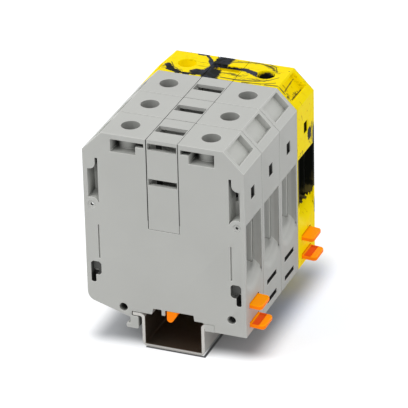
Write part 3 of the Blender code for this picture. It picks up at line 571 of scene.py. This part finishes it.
def marbled_plastic(name, colours, lift):
    """Yellow polyamide with the dark veins that two pigments leave when they are hardly mixed, with
    painted shade in hollows and a painted glow.
    """
    look = Look(name)
    place = look.place()
    _, flow = moulded_texture(look, place)
    flowing = stirred(look, place, size=5 * MM, depth=0.6 * MM)
    wavy = stirred(look, flowing, size=1.3 * MM, depth=0.7 * MM)
    dark = strokes(look, wavy, VEINS_AND_SLOT_SHADE)
    thin = strokes(look, flowing, LINES_AND_GROOVE_SHADE).step(0.0, 0.6)
    smears_and_groove_shade = strokes(look, wavy, SMEARS_AND_GROOVE_SHADE)
    # The dark patches of painted shade in holes, slots and entries join the veins
    for centre, reach in HOLLOW_SHADES:
        dark = dark.at_least(soft_ellipsoid(look, wavy, centre, reach))
    dark = dark.at_least(free_marbling(look, place))
    ragged = look.noise(look.stretch(place, (1.0, 1.0, 0.2)), 1.1 * MM, detail=3.0)
    frayed = look.noise(look.stretch(wavy, (0.3, 1.0, 1.0)), 0.8 * MM, detail=2.0)
    streaks = look.noise(look.stretch(wavy, (0.16, 1.0, 0.5)), 1.1 * MM, detail=2.0)
    cloud = look.noise(wavy, 7 * MM, detail=3.0, distortion=0.8)
    ground = Vector(colours.yellow) * lift
    streaked = (streaks.step(0.56, 0.72) * cloud.step(0.46, 0.62)).at_most(1.0)
    shaded = look.mix(streaked, shade(ground, 1.0), shade(ground, YELLOW_STREAK))
    stained = look.mix(cloud.step(0.36, 0.44, 0.5, 0.0), shaded, shade(ground, YELLOW_STAIN))
    fine = look.noise(look.stretch(wavy, (0.12, 1.0, 0.4)), 0.7 * MM, detail=2.0)
    # The olive smears and umber lines also add painted shade in the marker groove
    stained = look.mix(smears_and_groove_shade.step(0.0, 0.5) * fine.step(0.42, 0.62), stained, tuple(colours.olive))
    stained = look.mix(thin * 0.85, stained, tuple(colours.umber))
    # The veins' colours, which also draw the painted shade in holes, slots and entries
    pigment = look.mix(cloud.step(0.40, 0.62), colours.black, colours.navy)
    covered = (dark + (frayed - 0.5) * 0.5).step(-0.05, 0.22)
    inner, near_edge = dark_entry(look, place, ragged)
    entry_darkness = look.mix(near_edge * streaks.step(0.35, 0.6), tuple(colours.entry_black), tuple(colours.umber))
    marbled = look.mix(inner, look.mix(covered, stained, pigment), entry_darkness)
    lit = light_share(look, place)
    return look.finish(
        Base_Color=look.mix(lit, shade(ground, YELLOW_DARK), look.mix(LIT_LOSS, marbled, BLACK)),
        Emission_Color=look.mix(lit, BLACK, marbled),
        Emission_Strength=PAINTED_GLOW,
        Roughness=0.42 + flow * 0.12,
        IOR=1.5,
        Specular_IOR_Level=0.04,
    )


# The finger recess of the lower tabs, painted with the upper tabs' shadow: its least and most
# across, then up
GRIP_SHADOW = ((32.5 * MM, 35.1 * MM), (14.0 * MM, 19.0 * MM))
# The orange's tone in the painted shade of its hollows
ORANGE_DARK = 0.2


def orange_plastic(name, colours, lift):
    """Smooth orange plastic, redder on upright faces as painted shade and in the finger recess as
    the upper tabs' painted shadow.
    """
    look = Look(name)
    place = look.place()
    grain, flow = moulded_texture(look, place)
    normal = look.node("ShaderNodeNewGeometry", output="Normal")
    upward = look.axes(normal)[2].step(0.2, 0.8)
    x, _, z = look.axes(place)
    in_grip_shadow = inside_box((x, z), *zip(*GRIP_SHADOW), soft=0.5 * MM) * upward
    side, top = Vector(colours.orange_shaded_side), Vector(colours.orange)
    # Upright faces take the darker orange as painted shade
    bright = look.mix(upward, shade(side, lift), shade(top, lift))
    bright = look.mix(in_grip_shadow, bright, tuple(colours.grip_shadow))
    lit = look.openness(3 * MM).step(0.08, 0.6)
    return look.finish(
        Base_Color=look.mix(lit, shade(side, ORANGE_DARK), bright),
        Emission_Color=bright,
        Emission_Strength=PAINTED_GLOW,
        Roughness=0.36 + grain * 0.1 + flow * 0.05,
        IOR=1.5,
        Specular_IOR_Level=0.06,
    )


# The height of the grain on plated metal and on rolled sheet, and the size of the zinc's crystals
PLATED_HEIGHT, ROLLED_HEIGHT, SPANGLE = 0.006 * MM, 0.005 * MM, 4 * MM


def plated_metal(name, colour, grain_size, roughness, dulling):
    """A plated metal with soft blotches and a fine drawn grain."""
    look = Look(name)
    place = look.place()
    blotch = look.noise(place, grain_size, detail=3.0, roughness=0.6)
    drawn = look.noise(look.stretch(place, (1.0, 0.06, 1.0)), 0.5 * MM, detail=2.0)
    base = Vector(colour)
    look.relief(drawn * 0.7 + blotch * 0.3, PLATED_HEIGHT)
    return look.finish(
        Base_Color=look.mix(blotch.step(0.3, 0.7), shade(base, 1.0 - dulling), base),
        Roughness=roughness + blotch * 0.14 + drawn * 0.06,
        Metallic=1.0,
    )


def channel_inside(look, place):
    """1 on the faces inside the rail's channel, 0 on its cut ends and outside."""
    x, y, z = look.axes(place)
    _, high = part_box("din_rail")
    soft = 0.15 * MM
    half = RAIL_CHANNEL / 2 - RAIL_SHEET
    across = x.absolute().step(half + soft, half + 2 * soft, 1.0, 0.0)
    along = y.absolute().step(high[1] - 2 * soft, high[1] - soft, 1.0, 0.0)
    return across * along * z.step(RAIL_SHEET - 2 * soft, RAIL_SHEET - soft)


def galvanised_sheet(colours):
    """Zinc spangle on rolled sheet, with painted shade inside the channel."""
    look = Look("galvanised_rail")
    place = look.place()
    crystals = look.node(
        "ShaderNodeTexVoronoi", {"feature": "F1"},
        {"Vector": place, "Scale": 1 / SPANGLE, "Randomness": 1.0}, "Color",
    )
    level = look.node("ShaderNodeSeparateColor", None, {"Color": crystals}, "Red")
    rolled = look.noise(look.stretch(place, (1.0, 0.04, 1.0)), 0.6 * MM, detail=2.0)
    base = Vector(colours.sheet)
    look.relief(rolled, ROLLED_HEIGHT)
    bright = look.mix(level * 0.5 + rolled * 0.5, shade(base, 0.88), shade(base, 1.05))
    return look.finish(
        # The inside of the channel is painted dark as shade
        Base_Color=look.mix(channel_inside(look, place), bright, colours.channel),
        Roughness=0.36 + level * 0.1 + rolled * 0.06,
        Metallic=0.5,
    )


def settings():
    """The add-on's sizes, colours and studio settings."""
    scene = bpy.context.scene
    return scene.block_sizes, scene.block_colours, scene.studio


def pick(piece):
    """Selects the piece alone and makes it active."""
    bpy.ops.object.select_all(action="DESELECT")
    bpy.context.view_layer.objects.active = piece
    piece.select_set(True)


def dress(piece, *materials):
    """Gives a piece its materials, one for each slot, and makes the slots that it lacks."""
    slots = piece.data.materials
    while len(slots) < len(materials):
        slots.append(None)
    for index, material in enumerate(materials):
        slots[index] = material


def coat_node(node, material):
    """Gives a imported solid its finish."""
    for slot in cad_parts[node].material_slots:
        slot.material = material


# Corners closer than this are one, and faces that meet at less than this angle are one
SAME_CORNER, SAME_FACE = 0.002 * MM, math.radians(0.6)


def merged_copy(node, name):
    """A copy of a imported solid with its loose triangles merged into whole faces."""
    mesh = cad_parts[node].data.copy()
    mesh.name = name
    piece = bpy.data.objects.new(name, mesh)
    bpy.context.scene.collection.objects.link(piece)
    pick(piece)
    bpy.ops.object.mode_set(mode="EDIT")
    bpy.ops.mesh.select_all(action="SELECT")
    bpy.ops.mesh.remove_doubles(threshold=SAME_CORNER)
    bpy.ops.mesh.dissolve_limited(angle_limit=SAME_FACE)
    bpy.ops.object.mode_set(mode="OBJECT")
    return piece


# Material slots after the one for a piece's faces
EDGES, GROOVE_FLOOR = 1, 2
# Faces that meet at more than this angle have a sharp edge, and at less than that look smooth
SHARP_ANGLE, SMOOTH_ANGLE = math.radians(38), math.radians(32)
EDGE_SEGMENTS = 2


def ease_edges(piece, width):
    """Rounds the sharp edges, puts them in their own material slot and shades the faces smooth."""
    pick(piece)
    dress(piece, None, None, None)
    ease = piece.modifiers.new("eased", "BEVEL")
    ease.material = EDGES
    ease.width = width
    ease.segments = EDGE_SEGMENTS
    ease.limit_method = "ANGLE"
    ease.angle_limit = SHARP_ANGLE
    ease.use_clamp_overlap = False
    ease.harden_normals = True
    bpy.ops.object.shade_smooth_by_angle(angle=SMOOTH_ANGLE)
    bpy.ops.object.modifier_apply(modifier=ease.name)


def shifted_copy(piece, name, offset):
    """A copy of a finished piece, moved in its mesh so that its object stays at the origin."""
    mesh = piece.data.copy()
    mesh.name = name
    mesh.transform(Matrix.Translation(offset))
    copy = bpy.data.objects.new(name, mesh)
    bpy.context.scene.collection.objects.link(copy)
    return copy


def pole_offset(node, first):
    """How far a node is from its like in the first pole."""
    low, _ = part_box(node)
    start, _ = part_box(first)
    return Vector(low) - Vector(start)


def moulded_set(name, make, *lifts):
    """The materials of faces, rounded edges and groove floors, each made once and then shared."""
    _, colours, _ = settings()
    names = (name, f"{name}_edges", f"{name}_grooves")
    return [
        bpy.data.materials.get(title) or make(title, colours, lift)
        for title, lift in zip(names, lifts)
    ]


def moulding_finish(pole):
    """The materials of a pole's mouldings, and a name for their finish."""
    # The second and third lifts paint a highlight on the rounded edges and light on the groove
    # floors
    if pole == MARBLED_POLE:
        return moulded_set("marbled_moulding", marbled_plastic, 1.0, 1.05, 1.0), "marbled_yellow"
    return moulded_set("grey_moulding", grey_plastic, 1.0, 1.17, 1.25), "grey_polyamide"


# The right chamfer: the way that it faces, its upper edge and the depth of the marker groove in it
CHAMFER_RUN, CHAMFER_DROP = 8.5 * MM, 8.6 * MM
CHAMFER = Vector((CHAMFER_DROP, 0.0, CHAMFER_RUN)).normalized()
CHAMFER_TOP = Vector((HALF_LENGTH - CHAMFER_RUN, 0.0, TOP))
GROOVE_DEPTH = 2.0 * MM
# How near a face has to come to the chamfer's slope and to that depth to be a groove's floor
SAME_SLOPE, SAME_DEPTH = 0.999, 0.1 * MM
# How far the mouths of the slide slots and the tabs in them sit off the solids' places
MOUTH_SHIFT = Vector((0.0, -0.6, -1.3)) * MM
TAB_SHIFT = Vector((-0.1, -0.9, -1.6)) * MM
# Where those mouths are in the first pole, in mm, and how far to the right the tabs begin
SLOT_MOUTHS = ((31.2, -35.4, 15.9), (31.8, -24.6, 27.4))
TABS_FROM = 31.2 * MM


def shift_corners(piece, low, high, shift):
    """Moves the corners of a piece that lie between two places."""
    pick(piece)
    bpy.ops.object.mode_set(mode="EDIT")
    bpy.ops.mesh.select_mode(type="VERT")
    bpy.ops.mesh.select_all(action="DESELECT")
    bpy.ops.object.mode_set(mode="OBJECT")
    for corner in piece.data.vertices:
        corner.select = all(low[i] <= corner.co[i] <= high[i] for i in range(3))
    bpy.ops.object.mode_set(mode="EDIT")
    bpy.ops.transform.translate(value=shift)
    bpy.ops.mesh.select_mode(type="FACE")
    bpy.ops.object.mode_set(mode="OBJECT")


def deepen_marker_grooves(piece, extra):
    """Sinks the flat floors of the marker grooves, which the solid has shallower."""
    pick(piece)
    bpy.ops.object.mode_set(mode="EDIT")
    for side in (-1, 1):
        slope = Vector((side * CHAMFER.x, 0.0, CHAMFER.z))
        bpy.ops.mesh.select_all(action="DESELECT")
        bpy.ops.object.mode_set(mode="OBJECT")
        for face in piece.data.polygons:
            centre = face.center - Vector((HOUSING_MIDDLE, 0.0, 0.0))
            depth = slope.dot(Vector((side * CHAMFER_TOP.x, 0.0, CHAMFER_TOP.z)) - centre)
            if face.normal.dot(slope) > SAME_SLOPE and abs(depth - GROOVE_DEPTH) < SAME_DEPTH:
                face.select = True
                face.material_index = GROOVE_FLOOR
        bpy.ops.object.mode_set(mode="EDIT")
        bpy.ops.transform.translate(value=-extra * slope)
    bpy.ops.object.mode_set(mode="OBJECT")


def shape_housing(piece, groove_extra):
    """Changes what the photo shows otherwise than the solid has it."""
    deepen_marker_grooves(piece, groove_extra)
    shift_corners(piece, *(millimetres(corner) for corner in SLOT_MOUTHS), MOUTH_SHIFT)


# What closes the slot for the rail's right flange in the front face: corners in mm
FLANGE_PLATE = ((13.75, -39.99, 12.15), (17.9, -39.8, 15.3))


def close_flange_slot(piece):
    """Gives the first housing the face that hides the end of the rail's right flange."""
    low, high = (Vector(millimetres(corner)) for corner in FLANGE_PLATE)
    bpy.ops.object.select_all(action="DESELECT")
    bpy.ops.mesh.primitive_cube_add(size=1, location=(low + high) / 2, scale=high - low)
    plate = bpy.context.object
    bpy.ops.object.transform_apply(location=True, rotation=True, scale=True)
    dress(plate, *(slot.material for slot in piece.material_slots))
    pick(piece)
    plate.select_set(True)
    bpy.ops.object.join()


def mouldings(kind, title, edge, shape=None):
    """Makes the four mouldings of one kind from the first pole's solid."""
    first = merged_copy(f"{kind}_1", f"{title}_1")
    if shape:
        shape(first)
    ease_edges(first, edge)
    for pole in POLES:
        node = f"{kind}_{pole}"
        piece = first
        if pole != 1:
            piece = shifted_copy(first, f"{title}_{pole}", pole_offset(node, f"{kind}_1"))
        materials, slot = moulding_finish(pole)
        dress(piece, *materials)
        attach(piece, BLOCK)
        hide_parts(node)


class BLOCK_OT_housings(bpy.types.Operator):
    """Model the four moulded housings with their rounded edges"""

    bl_idname = "block.housings"
    bl_label = "Housings"

    def execute(self, context):
        sizes, _, _ = settings()
        mouldings(
            "housing", "pole_housing", sizes.edge,
            lambda piece: shape_housing(piece, sizes.groove_extra),
        )
        close_flange_slot(bpy.data.objects["pole_housing_1"])
        return {"FINISHED"}


class BLOCK_OT_covers(bpy.types.Operator):
    """Model the rear covers that close the housings"""

    bl_idname = "block.covers"
    bl_label = "Rear covers"

    def execute(self, context):
        sizes, _, _ = settings()
        mouldings("cover", "rear_cover", sizes.edge)
        return {"FINISHED"}


class BLOCK_OT_shafts(bpy.types.Operator):
    """Model the slotted bridge shafts in the middle of the poles"""

    bl_idname = "block.shafts"
    bl_label = "Bridge shafts"

    def execute(self, context):
        sizes, _, _ = settings()
        mouldings("bridge_shaft", "slotted_shaft", sizes.shaft_edge)
        return {"FINISHED"}


class BLOCK_OT_slides(bpy.types.Operator):
    """Model the orange lock slides of the outer poles"""

    bl_idname = "block.slides"
    bl_label = "Lock slides"

    def execute(self, context):
        sizes, _, _ = settings()
        # The second lift paints a highlight on the slides' rounded edges
        materials = moulded_set("orange_slide_plastic", orange_plastic, 1.0, 1.15, 1.0)
        first = merged_copy("lock_slide_1", "pull_slide_1")
        shift_corners(first, (TABS_FROM, -FAR, -FAR), (FAR, FAR, FAR), TAB_SHIFT)
        ease_edges(first, sizes.slide_edge)
        for pole in LOCKED_POLES:
            node = f"lock_slide_{pole}"
            piece = first
            if pole != 1:
                piece = shifted_copy(first, f"pull_slide_{pole}", pole_offset(node, "lock_slide_1"))
            dress(piece, *materials)
            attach(piece, node)
            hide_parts(node)
        return {"FINISHED"}


class BLOCK_OT_clamps(bpy.types.Operator):
    """Finish the clamping sleeves, screws and current bars"""

    bl_idname = "block.clamps"
    bl_label = "Clamps and bars"

    def execute(self, context):
        _, colours, _ = settings()
        zinc = plated_metal(
            "zinc_plate", colours.zinc, grain_size=3 * MM, roughness=0.3, dulling=0.14
        )
        tin = plated_metal(
            "tin_plate", colours.tin, grain_size=5 * MM, roughness=0.32, dulling=0.1
        )
        for pole in POLES:
            coat_node(f"current_bar_{pole}", tin)
            for side in SIDES:
                coat_node(f"sleeve_{side}_{pole}", zinc)
                coat_node(f"screw_{side}_{pole}", zinc)
        return {"FINISHED"}


class BLOCK_OT_rail(bpy.types.Operator):
    """Model the folded top hat rail with its eased edges"""

    bl_idname = "block.rail"
    bl_label = "Rail"

    def execute(self, context):
        sizes, colours, _ = settings()
        rail = merged_copy("din_rail", "top_hat_rail")
        front = CAD_BOX[0][1] + RAIL_FRONT
        inset = Vector((0.0, RAIL_INSET, 0.0))
        shift_corners(rail, (-FAR, -FAR, -FAR), (FAR, front, FAR), inset)
        ease_edges(rail, sizes.rail_edge)
        sheet = galvanised_sheet(colours)
        dress(rail, sheet, sheet)
        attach(rail, BLOCK)
        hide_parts("din_rail")
        return {"FINISHED"}


# The camera's sensor width in mm, and how far it sees in metres
SENSOR, SIGHT = 36, 20


def add_camera(studio):
    """Adds the camera at the photograph's viewing angle."""
    turn, lift, roll = studio.azimuth, studio.elevation, studio.roll
    back = Vector((
        math.sin(turn) * math.cos(lift), -math.cos(turn) * math.cos(lift), math.sin(lift)
    ))
    level = Vector((math.cos(turn), math.sin(turn), 0))
    upright = back.cross(level)
    right = level * math.cos(roll) + upright * math.sin(roll)
    up = upright * math.cos(roll) - level * math.sin(roll)
    lens = bpy.data.cameras.new("camera")
    lens.lens = studio.lens
    lens.sensor_width = SENSOR
    lens.clip_end = SIGHT
    camera = bpy.data.objects.new("camera", lens)
    place = Vector(studio.aim) + back * studio.distance
    camera.matrix_world = Matrix((right, up, back)).transposed().to_4x4()
    camera.matrix_world.translation = place
    bpy.context.scene.collection.objects.link(camera)
    bpy.context.scene.camera = camera


def seen_directly(look):
    """1 where a camera, glossy or transmission ray arrives, 0 for light on the object."""
    path = look.tree.nodes.new("ShaderNodeLightPath")
    rays = [Signal(look, path.outputs[name]) for name in
            ("Is Camera Ray", "Is Glossy Ray", "Is Transmission Ray")]
    return rays[0].at_least(rays[1]).at_least(rays[2])


# How far inside each side of the block the shadow on the floor starts to fade, and over what
# length, in mm
SHADOW_INSET = {"left": 7, "right": 10, "front": 9, "back": 4}
SHADOW_FADE = {"left": 12, "right": 15, "front": 12, "back": 26}
# How much narrower the shadow gets in front for each step to the right
FRONT_SKEW = 0.1


def clear_of_block(look):
    """0 on the floor under the block, rising to 1 where its shadow has faded."""
    (left, front, _), (right, back, _) = CAD_BOX
    x, y, _ = look.axes(look.place())
    beyond = {
        "left": left - x, "right": x - right, "front": front - y + x * FRONT_SKEW, "back": y - back,
    }
    total = None
    for side, distance in beyond.items():
        faded = (distance + SHADOW_INSET[side] * MM).at_least(0.0)
        share = faded * (1 / (SHADOW_FADE[side] * MM))
        total = share * share if total is None else total + share * share
    return (total ** 0.5).step(0.0, 1.0)


# The painted contact shadow where the rail's bend meets the floor, in front and on the right:
# corners in mm
CONTACT_SHADOWS = (((-11.6, -40.2), (13.4, -39.6)), ((13.2, -40.2), (13.7, -14.0)))
CONTACT_EDGE, CONTACT_TONE = 0.6 * MM, 0.25
# The floor beside the marbled pole, where its yellow would tint the shadow: centre and reach in mm
TINTED_FLOOR = ((42.0, 26.0, 0.0), (42.0, 44.0, 10.0))


def floor_finish(colours, studio):
    """A pale floor that looks white beyond the block's shadow."""
    look = Look("studio_floor")
    tinted = soft_ellipsoid(look, look.place(), *TINTED_FLOOR).step(0.0, 0.7)
    cool = look.mix(tinted, tuple(colours.shadow), tuple(colours.cool_shadow))
    tone = look.mix(seen_directly(look), tuple(colours.floor), cool)
    across, along, _ = look.axes(look.place())
    contact_shadow = None
    for low, high in CONTACT_SHADOWS:
        near = inside_box((across, along), millimetres(low), millimetres(high), CONTACT_EDGE)
        contact_shadow = near if contact_shadow is None else contact_shadow.at_least(near)
    tone = look.mix(contact_shadow, tone, shade(colours.shadow, CONTACT_TONE))
    surface = look.node("ShaderNodeBsdfDiffuse", None, {"Color": tone})
    white = seen_directly(look) * clear_of_block(look) * (1.0 - contact_shadow) * studio.glow
    glow = look.node("ShaderNodeEmission", None, {"Strength": white})
    both = look.node("ShaderNodeAddShader", None, {0: surface, 1: glow})
    look.tree.links.new(both.socket, look.tree.nodes["Material Output"].inputs["Surface"])
    look.tree.nodes.remove(look.shader)
    return look.material


class WorldLook(Look):
    """Builds the world's nodes with the same helpers."""

    def __init__(self, name):
        self.material = bpy.data.worlds.new(name)
        self.material.use_nodes = True
        self.tree = self.material.node_tree
        self.shader = self.tree.nodes["Background"]


def add_lamp(name, place, size, aim, power):
    """Adds a round lamp that faces the block."""
    light = bpy.data.lights.new(name, "AREA")
    light.shape = "DISK"
    light.size = size
    light.energy = power
    lamp = bpy.data.objects.new(name, light)
    place = Vector(place)
    facing = (Vector(aim) - place).to_track_quat("-Z", "Y")
    lamp.matrix_world = Matrix.Translation(place) @ facing.to_matrix().to_4x4()
    bpy.context.scene.collection.objects.link(lamp)


# The lamps' places and widths in metres
KEY_LAMP = ((-0.75, -0.55, 1.35), 0.8)
FRONT_LAMP = ((-0.5, -1.5, 0.7), 0.9)
# The floor's width, and how far below the rail it lies
FLOOR_SIZE, FLOOR_DROP = 6.0, 0.02 * MM


class BLOCK_OT_studio(bpy.types.Operator):
    """Set up the floor, the soft lights and the camera"""

    bl_idname = "block.studio"
    bl_label = "Studio"

    def execute(self, context):
        _, colours, studio = settings()
        bpy.ops.object.select_all(action="DESELECT")
        bpy.ops.mesh.primitive_plane_add(size=FLOOR_SIZE, location=(0, 0, -FLOOR_DROP))
        floor = context.active_object
        floor.name = "studio_floor"
        dress(floor, floor_finish(colours, studio))
        world = WorldLook("studio_world")
        strength = seen_directly(world).step(0, 1, studio.ambient, 1.0)
        world.finish(Color=(1.0, 1.0, 1.0), Strength=strength)
        context.scene.world = world.material
        add_lamp("key_lamp", *KEY_LAMP, studio.aim, studio.key)
        add_lamp("front_lamp", *FRONT_LAMP, studio.aim, studio.fill)
        add_camera(studio)
        context.scene.view_settings.view_transform = "Standard"
        return {"FINISHED"}


class BLOCK_PT_panel(bpy.types.Panel):
    """Lists the steps that build the terminal block"""

    bl_label = "Terminal Block"
    bl_idname = "BLOCK_PT_panel"
    bl_space_type = "VIEW_3D"
    bl_region_type = "UI"
    bl_category = "Terminal Block"

    def draw(self, context):
        for group in (context.scene.block_sizes, context.scene.block_colours, context.scene.studio):
            box = self.layout.box()
            for name in group.__annotations__:
                box.prop(group, name)
        for step in STEPS:
            self.layout.operator(step.bl_idname)


STEPS = (
    BLOCK_OT_housings, BLOCK_OT_covers, BLOCK_OT_shafts, BLOCK_OT_slides,
    BLOCK_OT_clamps, BLOCK_OT_rail, BLOCK_OT_studio,
)
GROUPS = {"block_sizes": BlockSizes, "block_colours": BlockColours, "studio": StudioSettings}


def register():
    for group in GROUPS.values():
        bpy.utils.register_class(group)
    for name, group in GROUPS.items():
        setattr(bpy.types.Scene, name, bpy.props.PointerProperty(type=group))
    for step in STEPS + (BLOCK_PT_panel,):
        bpy.utils.register_class(step)


def unregister():
    for step in reversed(STEPS + (BLOCK_PT_panel,)):
        bpy.utils.unregister_class(step)
    for name, group in GROUPS.items():
        delattr(bpy.types.Scene, name)
        bpy.utils.unregister_class(group)


def main():
    """Builds the block and its studio through the add-on's own operators."""
    register()
    for step in (
        bpy.ops.block.housings, bpy.ops.block.covers, bpy.ops.block.shafts, bpy.ops.block.slides,
        bpy.ops.block.clamps, bpy.ops.block.rail, bpy.ops.block.studio,
    ):
        step()


if __name__ == "__main__":
    main()
